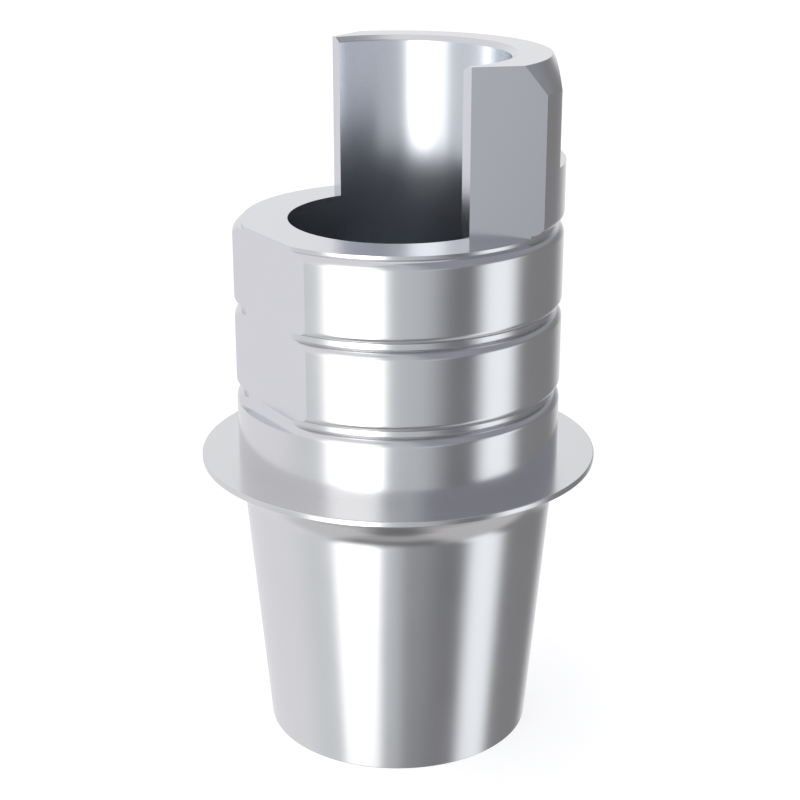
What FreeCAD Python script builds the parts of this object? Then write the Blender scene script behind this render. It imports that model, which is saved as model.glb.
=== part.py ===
import FreeCAD, Part
import math
import os

# A titanium base abutment: one turned and milled piece, standing on its cone end.
# Origin at the centre of the cone's flat end, +Z up the screw channel, all sizes in mm.

# Implant cone, turned, widening upwards
cone_end_radius = 1.526
cone_half_angle = 4.93

# Flange that meets the crown's margin, and the cove that sweeps out to its rim from the cone
flange_radius = 2.25
flange_top_z = 3.38
flange_rim_thickness = 0.067
cove_radius = 0.54

# Post that the crown is cemented on
post_radius = 1.83
total_height = 7.88
top_chamfer_width = 0.172
top_chamfer_height = 0.312

# Cement grooves: a narrow level floor between lips rounded over the whole depth
groove_count = 3
lowest_groove_z = 4.153
groove_pitch = 0.957
groove_width = 0.268
groove_depth = 0.098

# Screw channel: head bore, conical seat, shank hole
bore_radius = 1.22
mouth_chamfer_width = 0.079
mouth_chamfer_height = 0.05
seat_top_z = 3.0
seat_half_angle = 45.0
shank_radius = 0.95
shank_chamfer = 0.08

# Side window for a slanted screwdriver, facing the angle below (from +X about +Z)
window_angle = 213.0
floor_over_groove = 0.006
tip_width = 0.145
relief_angle = 67.4

# Flats against turning: one under the window, a pair at the back of the chimney
front_flat_distance = 1.655
front_flat_ledge_z = 4.045
back_flat_distance = 1.676
back_flat_angle = 150.0
back_flat_ledge_z = 6.75

# Sizes that follow from the ones above
rim_under_z = flange_top_z - flange_rim_thickness
groove_half_width = groove_width / 2
groove_half_floor = groove_half_width - groove_depth
top_groove_z = lowest_groove_z + (groove_count - 1) * groove_pitch
window_floor_z = top_groove_z + floor_over_groove
tip_outer = bore_radius + tip_width
relief_distance = tip_outer * math.sin(math.radians(relief_angle))
seat_bottom_z = seat_top_z - (bore_radius - shank_radius) / math.tan(math.radians(seat_half_angle))
reach = 2.0 * flange_radius


def point(r, z):
    return FreeCAD.Vector(r, 0, z)


def line(a, b):
    return Part.makeLine(point(*a), point(*b))


def arc(a, middle, b):
    return Part.Arc(point(*a), point(*middle), point(*b)).toShape()


def cove_points():
    """Start of the cove on the cone, its middle, and its end on the rim's lower edge."""
    slope = math.radians(cone_half_angle)
    up = FreeCAD.Vector(math.sin(slope), 0, math.cos(slope))
    out = FreeCAD.Vector(math.cos(slope), 0, -math.sin(slope))
    end = point(flange_radius, rim_under_z)
    foot = point(cone_end_radius, 0)
    along = (end - foot).dot(up)
    away = (end - foot).dot(out)
    run = math.sqrt(cove_radius ** 2 - (away - cove_radius) ** 2)
    start = foot + up * (along - run)
    centre = start + out * cove_radius
    to_middle = (start - centre) + (end - centre)
    middle = centre + to_middle.normalize() * cove_radius
    return start, middle, end


def groove_edges(z):
    """One groove's edges: lower lip, floor and upper lip."""
    floor_radius = post_radius - groove_depth
    lip_middle = groove_depth * math.sqrt(0.5)
    below = z - groove_half_width
    above = z + groove_half_width
    floor_low = (floor_radius, z - groove_half_floor)
    floor_high = (floor_radius, z + groove_half_floor)
    return [
        arc((post_radius, below), (floor_radius + lip_middle, below + lip_middle), floor_low),
        line(floor_low, floor_high),
        arc(floor_high, (floor_radius + lip_middle, above - lip_middle), (post_radius, above)),
    ]


def foot_edges():
    """Cone side, cove and flange."""
    start, middle, end = cove_points()
    cone = Part.makeLine(point(cone_end_radius, 0), start)
    cove = Part.Arc(start, middle, end).toShape()
    rim = line((flange_radius, rim_under_z), (flange_radius, flange_top_z))
    top = line((flange_radius, flange_top_z), (post_radius, flange_top_z))
    return [cone, cove, rim, top]


def post_edges():
    """Post side with its grooves, up to the outer chamfer."""
    edges = []
    below = flange_top_z
    for index in range(groove_count):
        z = lowest_groove_z + index * groove_pitch
        edges.append(line((post_radius, below), (post_radius, z - groove_half_width)))
        edges.extend(groove_edges(z))
        below = z + groove_half_width
    shoulder = total_height - top_chamfer_height
    edges.append(line((post_radius, below), (post_radius, shoulder)))
    edges.append(line((post_radius, shoulder), (post_radius - top_chamfer_width, total_height)))
    return edges


def channel_edges():
    """Screw channel, from the mouth down and back to the cone's end."""
    corners = [
        (post_radius - top_chamfer_width, total_height),
        (bore_radius + mouth_chamfer_width, total_height),
        (bore_radius, total_height - mouth_chamfer_height),
        (bore_radius, seat_top_z),
        (shank_radius, seat_bottom_z),
        (shank_radius, shank_chamfer),
        (shank_radius + shank_chamfer, 0),
        (cone_end_radius, 0),
    ]
    return [line(a, b) for a, b in zip(corners, corners[1:])]


def turned_body():
    wire = Part.Wire(foot_edges() + post_edges() + channel_edges())
    return Part.Face(wire).revolve(FreeCAD.Vector(0, 0, 0), FreeCAD.Vector(0, 0, 1), 360)


def cutter(angle, distance, low_z):
    """Block that mills away all that lies beyond a vertical plane, above low_z."""
    corner = FreeCAD.Vector(distance, -reach, low_z)
    block = Part.makeBox(reach, 2 * reach, total_height + reach - low_z, corner)
    block.rotate(FreeCAD.Vector(0, 0, 0), FreeCAD.Vector(0, 0, 1), angle)
    return block


def milling():
    return [
        cutter(window_angle, 0, window_floor_z),
        cutter(window_angle + relief_angle, relief_distance, window_floor_z),
        cutter(window_angle - relief_angle, relief_distance, window_floor_z),
        cutter(window_angle, front_flat_distance, front_flat_ledge_z),
        cutter(window_angle + back_flat_angle, back_flat_distance, back_flat_ledge_z),
        cutter(window_angle - back_flat_angle, back_flat_distance, back_flat_ledge_z),
    ]


def titanium_base():
    solid = turned_body()
    for tool in milling():
        solid = solid.cut(tool)
    return solid.Solids[0]


os.makedirs("parts", exist_ok=True)
base = titanium_base()
assert base.isValid()
base.exportStep("parts/titanium_base.step")
box = base.BoundBox
print("box", box.XMin, box.XMax, box.YMin, box.YMax, box.ZMin, box.ZMax)
print("volume mm3", base.Volume, "mass g", base.Volume * 4.43e-3)
print("cove starts at", cove_points()[0])
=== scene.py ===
import math

import bpy
import numpy as np
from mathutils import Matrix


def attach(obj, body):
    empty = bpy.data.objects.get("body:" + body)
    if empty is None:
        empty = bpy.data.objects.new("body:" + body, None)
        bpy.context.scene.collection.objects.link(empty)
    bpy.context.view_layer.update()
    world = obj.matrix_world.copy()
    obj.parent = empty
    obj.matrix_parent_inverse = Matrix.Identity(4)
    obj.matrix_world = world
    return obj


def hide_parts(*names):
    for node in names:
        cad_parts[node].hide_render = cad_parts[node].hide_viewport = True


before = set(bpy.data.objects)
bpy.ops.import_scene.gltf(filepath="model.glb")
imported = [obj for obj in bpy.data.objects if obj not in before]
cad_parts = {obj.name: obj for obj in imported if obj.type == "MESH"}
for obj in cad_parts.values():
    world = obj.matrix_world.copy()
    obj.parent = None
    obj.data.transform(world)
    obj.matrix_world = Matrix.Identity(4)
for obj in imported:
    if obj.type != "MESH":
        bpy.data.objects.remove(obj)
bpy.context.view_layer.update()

# Everything a user would change on the abutment, in mm and degrees. Segments are the steps round it.
baseSizes = {
    "coneEndRadius": 1.526,
    "coneHalfAngle": 4.93,
    "coveRadius": 0.54,
    "flangeRadius": 2.25,
    "flangeTop": 3.38,
    "flangeRim": 0.067,
    "postRadius": 1.83,
    "totalHeight": 7.88,
    "topChamferWidth": 0.172,
    "topChamferHeight": 0.312,
    "grooveCount": 3,
    "lowestGroove": 4.153,
    "groovePitch": 0.957,
    "grooveWidth": 0.268,
    "grooveDepth": 0.098,
    "boreRadius": 1.22,
    "mouthChamferWidth": 0.079,
    "mouthChamferHeight": 0.05,
    "seatTop": 3.0,
    "shankRadius": 0.95,
    "shankChamfer": 0.08,
    "windowAngle": 213.0,
    "floorOverGroove": 0.006,
    "tipWidth": 0.145,
    "reliefAngle": 67.4,
    "frontFlatDistance": 1.655,
    "frontFlatLedge": 4.045,
    "frontFlatCorner": 0.11,
    "backFlatDistance": 1.676,
    "backFlatAngle": 150.0,
    "backFlatLedge": 6.75,
    "edgeBreak": 0.012,
    "segments": 240,
}


# Where the tangents at both ends of the cove meet: up the cone, and in from the rim's lower edge.
def coveCorner(s):
    slope = math.radians(s["coneHalfAngle"])
    up = np.array([math.sin(slope), math.cos(slope)])
    out = np.array([math.cos(slope), -math.sin(slope)])
    foot = np.array([s["coneEndRadius"], 0.0])
    end = np.array([s["flangeRadius"], s["flangeTop"] - s["flangeRim"]])
    radius = s["coveRadius"]
    along, away = (end - foot) @ up, (end - foot) @ out
    start = foot + up * (along - math.sqrt(radius ** 2 - (away - radius) ** 2))
    centre = start + out * radius
    a, b = (start - centre) / radius, (end - centre) / radius
    meet = centre + (a + b) * radius / (1 + a @ b)
    return float(meet[0]), float(meet[1])


# The turned section as corners (radius, height, rounding), going up outside and down the channel.
def profileCorners(s):
    b = s["edgeBreak"]
    meet = coveCorner(s)
    under = s["flangeTop"] - s["flangeRim"]
    shoulder = s["totalHeight"] - s["topChamferHeight"]
    corners = [
        (s["coneEndRadius"], 0.0, b),
        (meet[0], meet[1], s["coveRadius"] - 2 * b),
        (s["flangeRadius"], under, b),
        (s["flangeRadius"], s["flangeTop"], b),
        (s["postRadius"], s["flangeTop"], 0.0),
    ]
    for i in range(s["grooveCount"]):
        z = s["lowestGroove"] + i * s["groovePitch"]
        deep = s["postRadius"] - s["grooveDepth"]
        half = s["grooveWidth"] / 2 - s["grooveDepth"]
        lip = s["grooveDepth"] - b / 2
        corners += [
            (s["postRadius"], z - half, lip),
            (deep, z - half, b / 2),
            (deep, z + half, b / 2),
            (s["postRadius"], z + half, lip),
        ]
    corners += [
        (s["postRadius"], shoulder, b),
        (s["postRadius"] - s["topChamferWidth"], s["totalHeight"], b),
        (s["boreRadius"] + s["mouthChamferWidth"], s["totalHeight"], b),
        (s["boreRadius"], s["totalHeight"] - s["mouthChamferHeight"], b),
        (s["boreRadius"], s["seatTop"], b),
        (s["shankRadius"], s["seatTop"] - s["boreRadius"] + s["shankRadius"], b),
        (s["shankRadius"], s["shankChamfer"], b),
        (s["shankRadius"] + s["shankChamfer"], 0.0, b),
    ]
    return corners


# The section as corner arcs (start, end, centre, radius, convex) and straight runs (start, end).
def sectionElements(corners):
    points = [np.array(c[:2]) for c in corners]
    rounds = []
    for i, corner in enumerate(corners):
        p = points[i]
        back = points[i - 1] - p
        ahead = points[(i + 1) % len(points)] - p
        back /= np.linalg.norm(back)
        ahead /= np.linalg.norm(ahead)
        half = math.acos(max(-1.0, min(1.0, float(back @ ahead)))) / 2
        reach = corner[2] / math.tan(half)
        middle = (back + ahead) / np.linalg.norm(back + ahead)
        centre = p + middle * corner[2] / math.sin(half)
        convex = back[0] * ahead[1] - back[1] * ahead[0] < 0
        rounds.append((p + back * reach, p + ahead * reach, centre, corner[2], convex))
    elements = []
    for i, (start, end, centre, radius, convex) in enumerate(rounds):
        elements.append(("arc", start, end, centre, radius, convex))
        following = rounds[(i + 1) % len(rounds)][0]
        if np.linalg.norm(following - end) > 1e-6:
            elements.append(("line", end, following))
    return elements


# Points round the section, with enough on each arc for a smooth mirror.
def sampleElements(elements):
    points = []
    for e in elements:
        points.append(e[1])
        if e[0] == "line":
            continue
        a = math.atan2(*(e[1] - e[3])[::-1])
        b = math.atan2(*(e[2] - e[3])[::-1])
        turn = (b - a + math.pi) % (2 * math.pi) - math.pi
        steps = max(2, int(abs(turn) * (6 + 30 * math.sqrt(e[4]))))
        for k in range(1, steps):
            t = a + turn * k / steps
            points.append(e[3] + e[4] * np.array([math.cos(t), math.sin(t)]))
    return points


elements = sectionElements(profileCorners(baseSizes))
section = sampleElements(elements)
print("section points", len(section))


# Adds and links nodes in one tree, with few words.
class TreeMaker:
    def __init__(self, tree):
        self.tree = tree

    def add(self, kind, inputs=None, **settings):
        node = self.tree.nodes.new(kind)
        for name, value in settings.items():
            setattr(node, name, value)
        for key, value in (inputs or {}).items():
            self.feed(node.inputs[key], value)
        return node

    def feed(self, socket, value):
        if isinstance(value, bpy.types.NodeSocket):
            self.tree.links.new(value, socket)
        else:
            socket.default_value = value

    def math(self, operation, a, b=0.0):
        return self.add("ShaderNodeMath", {0: a, 1: b}, operation=operation).outputs[0]


cutterSize = 9.0  # longer than the whole part, mm
barSides = 128


# Turns the section about Z, then mills the window, relief faces and flats.
def latheAndMillTree():
    tree = bpy.data.node_groups.new("latheAndMill", "GeometryNodeTree")
    tree.interface.new_socket("Section", in_out="INPUT", socket_type="NodeSocketGeometry")
    for name in ("Window Angle", "Window Floor", "Relief Angle", "Relief Distance", "Front Flat Distance",
                 "Front Flat Ledge", "Front Flat Corner", "Back Flat Angle", "Back Flat Distance",
                 "Back Flat Ledge"):
        tree.interface.new_socket(name, in_out="INPUT", socket_type="NodeSocketFloat")
    tree.interface.new_socket("Segments", in_out="INPUT", socket_type="NodeSocketInt")
    tree.interface.new_socket("Turned", in_out="INPUT", socket_type="NodeSocketMaterial")
    tree.interface.new_socket("Milled", in_out="INPUT", socket_type="NodeSocketMaterial")
    tree.interface.new_socket("Geometry", in_out="OUTPUT", socket_type="NodeSocketGeometry")
    t = TreeMaker(tree)
    given = t.add("NodeGroupInput").outputs
    count = t.add("GeometryNodeAttributeDomainSize", {"Geometry": given["Section"]}).outputs["Point Count"]
    rows = t.math("ADD", count, 1.0)
    columns = t.math("ADD", given["Segments"], 1.0)
    grid = t.add("GeometryNodeMeshGrid", {"Vertices X": columns, "Vertices Y": rows}).outputs["Mesh"]
    index = t.add("GeometryNodeInputIndex").outputs[0]
    column = t.math("FLOOR", t.math("DIVIDE", t.math("ADD", index, 0.5), rows))
    row = t.math("SUBTRACT", index, t.math("MULTIPLY", column, rows))
    row = t.math("FLOOR", t.math("ADD", t.math("MODULO", row, count), 0.5))
    sample = t.add("GeometryNodeSampleIndex", {"Geometry": given["Section"], "Index": row,
                   "Value": t.add("GeometryNodeInputPosition").outputs[0]}, data_type="FLOAT_VECTOR")
    place = t.add("ShaderNodeSeparateXYZ", {0: sample.outputs[0]}).outputs
    turn = t.math("DIVIDE", t.math("MULTIPLY", column, 2 * math.pi), given["Segments"])
    spot = t.add("ShaderNodeCombineXYZ", {
        "X": t.math("MULTIPLY", place["X"], t.math("COSINE", turn)),
        "Y": t.math("MULTIPLY", place["X"], t.math("SINE", turn)),
        "Z": place["Z"]}).outputs[0]
    turned = t.add("GeometryNodeSetPosition", {"Geometry": grid, "Position": spot}).outputs[0]
    turned = t.add("GeometryNodeMergeByDistance", {"Geometry": turned, "Distance": 1e-5}).outputs[0]
    turned = t.add("GeometryNodeSetMaterial", {"Geometry": turned, "Material": given["Turned"]}).outputs[0]

    # A cutter's mesh, moved out from the axis and up, then turned to its angle.
    def aimed(mesh, angle, outward, height, tilt=(0.0, 0.0, 0.0)):
        shift = t.add("ShaderNodeCombineXYZ", {"X": outward, "Z": height}).outputs[0]
        moved = t.add("GeometryNodeTransform", {"Geometry": mesh, "Translation": shift,
                      "Rotation": tilt}).outputs[0]
        about = t.add("ShaderNodeCombineXYZ", {"Z": t.math("RADIANS", angle)}).outputs[0]
        spun = t.add("GeometryNodeTransform", {"Geometry": moved, "Rotation": about}).outputs[0]
        return t.add("GeometryNodeSetMaterial", {"Geometry": spun, "Material": given["Milled"]}).outputs[0]

    # Mills away all that lies beyond a plane and above a level.
    def cutter(angle, distance, low):
        cube = t.add("GeometryNodeMeshCube", {"Size": (cutterSize, cutterSize, cutterSize)})
        return aimed(cube.outputs["Mesh"], angle, t.math("ADD", distance, cutterSize / 2),
                     t.math("ADD", low, cutterSize / 2))

    # A level round bar, which rounds the corner between a plane and a ledge.
    def roundCutter(angle, distance, low, corner):
        bar = t.add("GeometryNodeMeshCylinder", {"Vertices": barSides, "Radius": corner,
                    "Depth": cutterSize})
        return aimed(bar.outputs["Mesh"], angle, t.math("ADD", distance, corner),
                     t.math("ADD", low, corner), (math.pi / 2, math.pi / barSides, 0.0))

    window = given["Window Angle"]
    floor = given["Window Floor"]
    flat, ledge, corner = (given["Front Flat " + name] for name in ("Distance", "Ledge", "Corner"))
    cuts = [
        cutter(window, 0.0, floor),
        cutter(t.math("ADD", window, given["Relief Angle"]), given["Relief Distance"], floor),
        cutter(t.math("SUBTRACT", window, given["Relief Angle"]), given["Relief Distance"], floor),
        cutter(window, flat, t.math("ADD", ledge, corner)),
        cutter(window, t.math("ADD", flat, corner), ledge),
        roundCutter(window, flat, ledge, corner),
        cutter(t.math("ADD", window, given["Back Flat Angle"]), given["Back Flat Distance"],
               given["Back Flat Ledge"]),
        cutter(t.math("SUBTRACT", window, given["Back Flat Angle"]), given["Back Flat Distance"],
               given["Back Flat Ledge"]),
    ]
    mesh = turned
    for cut in cuts:
        boolean = t.add("GeometryNodeMeshBoolean", {"Mesh 1": mesh, "Mesh 2": cut},
                        operation="DIFFERENCE", solver="EXACT")
        mesh = boolean.outputs["Mesh"]
    metres = t.add("GeometryNodeTransform", {"Geometry": mesh, "Scale": (0.001, 0.001, 0.001)}).outputs[0]
    real = t.add("GeometryNodeRealizeInstances", {"Geometry": metres}).outputs[0]
    milled = t.add("GeometryNodeMaterialSelection", {"Material": given["Milled"]}).outputs[0]
    last = t.add("GeometryNodeSetMaterial", {"Geometry": real, "Selection": milled,
                 "Material": given["Milled"]})
    t.add("NodeGroupOutput", {0: last.outputs[0]})
    return tree


# How the bare titanium looks. Levels of roughness are 0 to 1, mark sizes are in mm.
metalLook = {
    "color": {"turned": (0.735, 0.735, 0.745), "milled": (0.735, 0.74, 0.765),
              "bored": (0.706, 0.731, 0.772)},
    "roughness": {"turned": 0.195, "milled": 0.22, "bored": 0.23},
    "roughnessSpread": 0.03,
    "tint": 0.02,
    "patchScale": 1400.0,
    "markWidth": 0.03,
    "markDepth": 0.00002,
    "markStretch": 50.0,  # how much longer than wide the milled lines are
}


# Bright machined titanium: level lines where it was milled, else rings round the axis.
def titanium(finish):
    material = bpy.data.materials.new("titanium" + finish.capitalize())
    material.use_nodes = True
    tree = material.node_tree
    tree.nodes.clear()
    t = TreeMaker(tree)
    place = t.add("ShaderNodeTexCoord").outputs["Object"]
    axes = t.add("ShaderNodeSeparateXYZ", {0: place}).outputs
    radius = t.math("SQRT", t.math("ADD", t.math("MULTIPLY", axes["X"], axes["X"]),
                                   t.math("MULTIPLY", axes["Y"], axes["Y"])))
    if finish == "milled":
        radius = t.math("DIVIDE", radius, metalLook["markStretch"])
    along = t.add("ShaderNodeCombineXYZ", {"X": radius, "Y": axes["Z"]}).outputs[0]
    marks = t.add("ShaderNodeTexNoise", {"Vector": along, "Scale": 1000.0 / metalLook["markWidth"],
                  "Detail": 3.0, "Roughness": 0.6}, noise_dimensions="2D").outputs["Fac"]
    cloud = t.add("ShaderNodeTexNoise", {"Vector": place, "Scale": metalLook["patchScale"],
                  "Detail": 4.0}).outputs["Fac"]
    patch = t.math("SUBTRACT", cloud, 0.5)
    shade = t.math("ADD", 1.0, t.math("MULTIPLY", patch, metalLook["tint"] * 2))
    color = t.add("ShaderNodeVectorMath", {0: metalLook["color"][finish], "Scale": shade},
                  operation="SCALE").outputs[0]
    uneven = t.math("MULTIPLY", patch, metalLook["roughnessSpread"] * 2)
    rough = t.math("ADD", metalLook["roughness"][finish], uneven)
    bump = t.add("ShaderNodeBump", {"Height": marks, "Distance": metalLook["markDepth"] * 0.001,
                 "Strength": 1.0})
    shader = t.add("ShaderNodeBsdfPrincipled", {"Base Color": color, "Metallic": 1.0, "Roughness": rough,
                   "Normal": bump.outputs[0]})
    t.add("ShaderNodeOutputMaterial", {"Surface": shader.outputs[0]})
    return material


# Outward normal (radial, upward) of one run or arc of the section.
def sectionNormal(element, r, z):
    if element[0] == "line":
        d = element[2] - element[1]
        return np.array([d[1], -d[0]]) / np.linalg.norm(d)
    out = np.array([r, z]) - element[3]
    out /= max(np.linalg.norm(out), 1e-9)
    return out if element[5] else -out


# How far a point of the section plane is from one run or arc.
def offElement(element, r, z):
    p = np.array([r, z])
    a, b = element[1], element[2]
    if element[0] == "line":
        d = b - a
        k = min(1.0, max(0.0, float((p - a) @ d) / float(d @ d)))
        return float(np.linalg.norm(p - a - k * d))
    middle = (a + b) / 2 - element[3]
    away = p - element[3]
    span = float((a - element[3]) @ middle) / (element[4] * np.linalg.norm(middle))
    facing = float(away @ middle) / max(np.linalg.norm(away) * np.linalg.norm(middle), 1e-12)
    if facing < span - 1e-4:
        return float(min(np.linalg.norm(p - a), np.linalg.norm(p - b)))
    return abs(float(np.linalg.norm(away)) - element[4])


# Gives each corner the exact normal of the turned or milled surface it lies on.
def trueNormals(mesh, milledSlot):
    normals = np.zeros((len(mesh.loops), 3))
    known = {}
    for face in mesh.polygons:
        face.use_smooth = True
        flat = np.array(face.normal)
        corners = [(i, np.array(mesh.vertices[mesh.loops[i].vertex_index].co) * 1000)
                   for i in face.loop_indices]
        if face.material_index == milledSlot:
            for i, _ in corners:
                normals[i] = flat
            continue
        rs = sum(math.hypot(c[0], c[1]) for _, c in corners) / len(corners)
        zs = sum(c[2] for _, c in corners) / len(corners)
        key = (round(rs, 4), round(zs, 4))
        if key not in known:
            known[key] = min(range(len(elements)), key=lambda k: offElement(elements[k], rs, zs))
        element = elements[known[key]]
        for i, c in corners:
            r = math.hypot(c[0], c[1])
            n = sectionNormal(element, r, c[2])
            normals[i] = (n[0] * c[0] / r, n[0] * c[1] / r, n[1])
    mesh.normals_split_custom_set(normals.tolist())


# The inside of the channel has the duller finish that a drill or boring bar leaves.
def markBore(mesh, turnedSlot):
    mesh.materials.append(titanium("bored"))
    inside = baseSizes["boreRadius"] + 0.01  # past the bore, short of its chamfers
    for face in mesh.polygons:
        if face.material_index == turnedSlot:
            x, y, z = (1000 * c for c in face.center)
            if math.hypot(x, y) < inside:
                face.material_index = len(mesh.materials) - 1


# A modifier's inputs are set by identifier, looked up by name.
def setInputs(modifier, tree, values):
    for item in tree.interface.items_tree:
        if item.item_type == "SOCKET" and item.in_out == "INPUT" and item.name in values:
            modifier[item.identifier] = values[item.name]


# The whole abutment as one plain mesh.
def titaniumBase():
    s = baseSizes
    topGroove = s["lowestGroove"] + (s["grooveCount"] - 1) * s["groovePitch"]
    mesh = bpy.data.meshes.new("section")
    edges = [(i, (i + 1) % len(section)) for i in range(len(section))]
    mesh.from_pydata([(p[0], 0.0, p[1]) for p in section], edges, [])
    holder = bpy.data.objects.new("sectionHolder", mesh)
    bpy.context.scene.collection.objects.link(holder)
    modifier = holder.modifiers.new("latheAndMill", "NODES")
    tree = latheAndMillTree()
    modifier.node_group = tree
    setInputs(modifier, tree, {
        "Window Angle": s["windowAngle"],
        "Window Floor": topGroove + s["floorOverGroove"],
        "Relief Angle": s["reliefAngle"],
        "Relief Distance": (s["boreRadius"] + s["tipWidth"]) * math.sin(math.radians(s["reliefAngle"])),
        "Front Flat Distance": s["frontFlatDistance"],
        "Front Flat Ledge": s["frontFlatLedge"],
        "Front Flat Corner": s["frontFlatCorner"],
        "Back Flat Angle": s["backFlatAngle"],
        "Back Flat Distance": s["backFlatDistance"],
        "Back Flat Ledge": s["backFlatLedge"],
        "Segments": s["segments"],
        "Turned": titanium("turned"),
        "Milled": titanium("milled"),
    })
    bpy.context.view_layer.update()
    ready = holder.evaluated_get(bpy.context.evaluated_depsgraph_get())
    piece = bpy.data.objects.new("titaniumBase", bpy.data.meshes.new_from_object(ready))
    bpy.context.scene.collection.objects.link(piece)
    bpy.data.objects.remove(holder)
    slots = [m.name if m else "" for m in piece.data.materials]
    trueNormals(piece.data, slots.index("titaniumMilled"))
    markBore(piece.data, slots.index("titaniumTurned"))
    return piece


piece = titaniumBase()
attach(piece, "root")
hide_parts("titanium_base")
print("titaniumBase faces", len(piece.data.polygons))

# Studio around the part: cards of light and shade, painted one over the other on a white room.
# Angles in degrees: azimuth from the camera's side, right positive, and elevation, up positive.
# Each card has a start and an end, each with how softly it fades; level 1 is the backdrop's white.
# Slant moves its start and end per degree below the height where an upright wall is mirrored. Lean moves
# both per degree above it.
studioCards = [
    {"name": "leftWall", "azimuth": (-162, -50), "fade": (14, 3), "elevation": (-100, 90), "level": 0.86,
     "tint": (0.99, 0.985, 1.02)},
    {"name": "leftNotch", "azimuth": (-82, -50), "fade": (14, 3), "elevation": (-100, 5), "level": 0.74,
     "tint": (0.97, 1.0, 1.03)},
    {"name": "frontGrey", "azimuth": (-20, 75), "fade": (6, 6), "elevation": (-100, 100), "level": 0.6,
     "tint": (0.96, 1.0, 1.04)},
    {"name": "frontFlag", "azimuth": (27, 75), "fade": (14, 10), "elevation": (-100, 100), "level": 0.205,
     "lean": 0.5, "tint": (0.97, 0.98, 1.05)},
    {"name": "lowFront", "azimuth": (3, 50), "fade": (6, 14), "elevation": (-100, -28), "level": 0.22,
     "strength": 0.72, "tint": (0.98, 0.98, 1.04)},
    {"name": "highFlag", "azimuth": (16, 160), "fade": (10, 16), "elevation": (4, 100), "level": 0.34,
     "tint": (0.95, 0.97, 1.1)},
    {"name": "backRightFlag", "azimuth": (84, 152), "fade": (6, 18), "elevation": (-100, 16), "level": 0.25,
     "tint": (1.0, 0.995, 1.01)},
    {"name": "rightStrip", "azimuth": (59, 88), "fade": (8, 10), "slant": (0.15, 0.1),
     "elevation": (-100, 3), "level": 1.16, "tint": (0.97, 1.0, 1.03)},
    {"name": "keyStripHigh", "azimuth": (-51, -12), "fade": (4, 5), "elevation": (-5, 34),
     "level": 1.5, "tint": (1.0, 1.0, 1.0)},
    {"name": "keyStripLow", "azimuth": (-53.5, -8.5), "fade": (3, 5), "slant": (-0.1, 0.4),
     "elevation": (-100, 5), "level": 1.55, "tint": (1.0, 1.0, 1.0)},
    {"name": "keyCore", "azimuth": (-36, -16), "fade": (6, 6), "elevation": (-32, -6), "level": 4.2,
     "tint": (1.0, 1.0, 1.0)},
    {"name": "lowFlag", "azimuth": (-58, 60), "fade": (6, 12), "elevation": (-100, -45), "level": 0.18,
     "tint": (1.0, 0.98, 1.0)},
    {"name": "below", "azimuth": (-64, 60), "fade": (12, 12), "elevation": (-78, -59), "level": 0.42,
     "tint": (1.0, 0.98, 1.0)},
    {"name": "belowLeft", "azimuth": (-150, -50), "fade": (14, 12), "elevation": (-84, -50), "level": 0.66,
     "tint": (1.0, 0.98, 1.0)},
    {"name": "belowRight", "azimuth": (42, 165), "fade": (14, 10), "elevation": (-84, -44), "level": 0.58,
     "tint": (1.0, 0.98, 1.0)},
    {"name": "nadir", "azimuth": (-400, 400), "fade": (1, 1), "elevation": (-100, -79), "level": 0.17,
     "tint": (1.0, 0.98, 1.0)},
]
studioLook = {
    "room": (0.902, 0.906, 0.922, 1.0),
    "uprightElevation": -19.0,
    "elevationFade": 5.0,
    "floorGrey": (0.5, 0.5, 0.5, 1.0),
    "floorGlow": 0.75,
    "shadeColor": (0.02, 0.02, 0.022, 1.0),
    "shadeMargin": 0.2,
}


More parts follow.
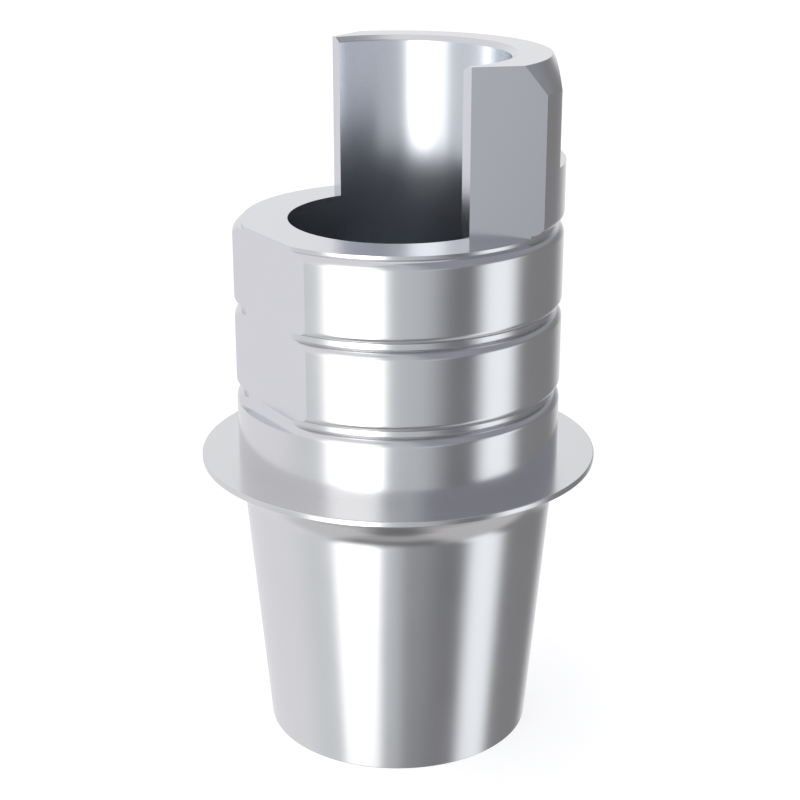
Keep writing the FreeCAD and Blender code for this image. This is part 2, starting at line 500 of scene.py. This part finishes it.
# The room's light, and plain white where the camera looks straight at it.
def studioWorld():
    world = bpy.data.worlds.new("studio")
    bpy.context.scene.world = world
    world.use_nodes = True
    tree = world.node_tree
    tree.nodes.clear()
    t = TreeMaker(tree)
    way = t.add("ShaderNodeSeparateXYZ", {0: t.add("ShaderNodeTexCoord").outputs["Generated"]}).outputs
    azimuth = t.math("DEGREES", t.math("ARCTAN2", way["X"], t.math("MULTIPLY", way["Y"], -1.0)))
    elevation = t.math("DEGREES", t.math("ARCSINE", way["Z"]))

    def rise(value, middle, fade):
        return t.add("ShaderNodeMapRange", {"Value": value, "From Min": float(middle - fade),
                     "From Max": float(middle + fade)}, interpolation_type="SMOOTHSTEP").outputs["Result"]

    def within(value, span, fades, slants=(0.0, 0.0), lean=0.0):
        above = t.math("ADD", elevation, -studioLook["uprightElevation"])
        drop = t.math("MINIMUM", above, 0.0)
        lift = t.math("MULTIPLY", t.math("MAXIMUM", above, 0.0), lean)
        ways = [t.math("SUBTRACT", value, t.math("ADD", t.math("MULTIPLY", slant, drop), lift))
                for slant in slants]
        past = t.math("SUBTRACT", 1.0, rise(ways[1], span[1], fades[1]))
        return t.math("MULTIPLY", rise(ways[0], span[0], fades[0]), past)

    color = studioLook["room"]
    fade = studioLook["elevationFade"]
    for card in studioCards:
        across = within(azimuth, card["azimuth"], card["fade"], card.get("slant", (0.0, 0.0)),
                        card.get("lean", 0.0))
        height = within(elevation, card["elevation"], (fade, fade))
        cover = t.math("MULTIPLY", t.math("MULTIPLY", across, height), card.get("strength", 1.0))
        shown = tuple(c * card["level"] for c in card["tint"]) + (1.0,)
        mix = t.add("ShaderNodeMix", data_type="RGBA")
        sockets = {socket.identifier: socket for socket in mix.inputs}
        t.feed(sockets["Factor_Float"], cover)
        t.feed(sockets["A_Color"], color)
        t.feed(sockets["B_Color"], shown)
        color = [socket for socket in mix.outputs if socket.identifier == "Result_Color"][0]
    light = t.add("ShaderNodeBackground", {"Color": color, "Strength": 1.0})
    white = t.add("ShaderNodeBackground", {"Color": (1.0, 1.0, 1.0, 1.0), "Strength": 1.0})
    seen = t.add("ShaderNodeLightPath").outputs["Is Camera Ray"]
    both = t.add("ShaderNodeMixShader", {0: seen, 1: light.outputs[0], 2: white.outputs[0]})
    t.add("ShaderNodeOutputWorld", {"Surface": both.outputs[0]})


# Painted shade: a near-black disc standing for the floor inside the channel's lower mouth, where no light
# comes.
def channelShade():
    radius = (baseSizes["shankRadius"] + studioLook["shadeMargin"]) / 1000
    bpy.ops.mesh.primitive_circle_add(vertices=48, radius=radius, fill_type="NGON",
                                      location=(0, 0, -0.000001))
    shade = bpy.context.object
    shade.name = "channelShade"
    material = bpy.data.materials.new("channelShade")
    material.use_nodes = True
    tree = material.node_tree
    tree.nodes.clear()
    t = TreeMaker(tree)
    # The near-black colour is painted shade.
    dark = t.add("ShaderNodeBsdfDiffuse", {"Color": studioLook["shadeColor"]})
    t.add("ShaderNodeOutputMaterial", {"Surface": dark.outputs[0]})
    shade.data.materials.append(material)
    shade.visible_shadow = False


# A white floor that keeps the part's shadow but isn't mirrored in the metal.
def paleFloor():
    bpy.ops.mesh.primitive_plane_add(size=2.0, location=(0, 0, -0.000002))
    floor = bpy.context.object
    floor.name = "floor"
    material = bpy.data.materials.new("paleFloor")
    material.use_nodes = True
    tree = material.node_tree
    tree.nodes.clear()
    t = TreeMaker(tree)
    paint = t.add("ShaderNodeBsdfDiffuse", {"Color": studioLook["floorGrey"]})
    glow = t.add("ShaderNodeEmission", {"Color": (1.0, 1.0, 1.0, 1.0)})
    seen = t.add("ShaderNodeLightPath").outputs["Is Camera Ray"]
    t.feed(glow.inputs["Strength"], t.math("MULTIPLY", seen, studioLook["floorGlow"]))
    both = t.add("ShaderNodeAddShader", {0: paint.outputs[0], 1: glow.outputs[0]})
    t.add("ShaderNodeOutputMaterial", {"Surface": both.outputs[0]})
    floor.data.materials.append(material)
    floor.visible_glossy = False
    floor.visible_shadow = False


studioWorld()
paleFloor()
channelShade()
print("studio ready")

# The photograph's camera
lens = bpy.data.cameras.new("photoCamera")
lens.sensor_width = 36.0
lens.lens = 77.13
lens.clip_start = 0.0005
lens.clip_end = 10.0
camera = bpy.data.objects.new("photoCamera", lens)
camera.location = (0.0000216, -0.018505, 0.010529)
camera.rotation_euler = (math.radians(70.34), 0.0, 0.0)
bpy.context.scene.collection.objects.link(camera)
bpy.context.scene.camera = camera
bpy.context.scene.view_settings.view_transform = "Standard"
print("camera ready")
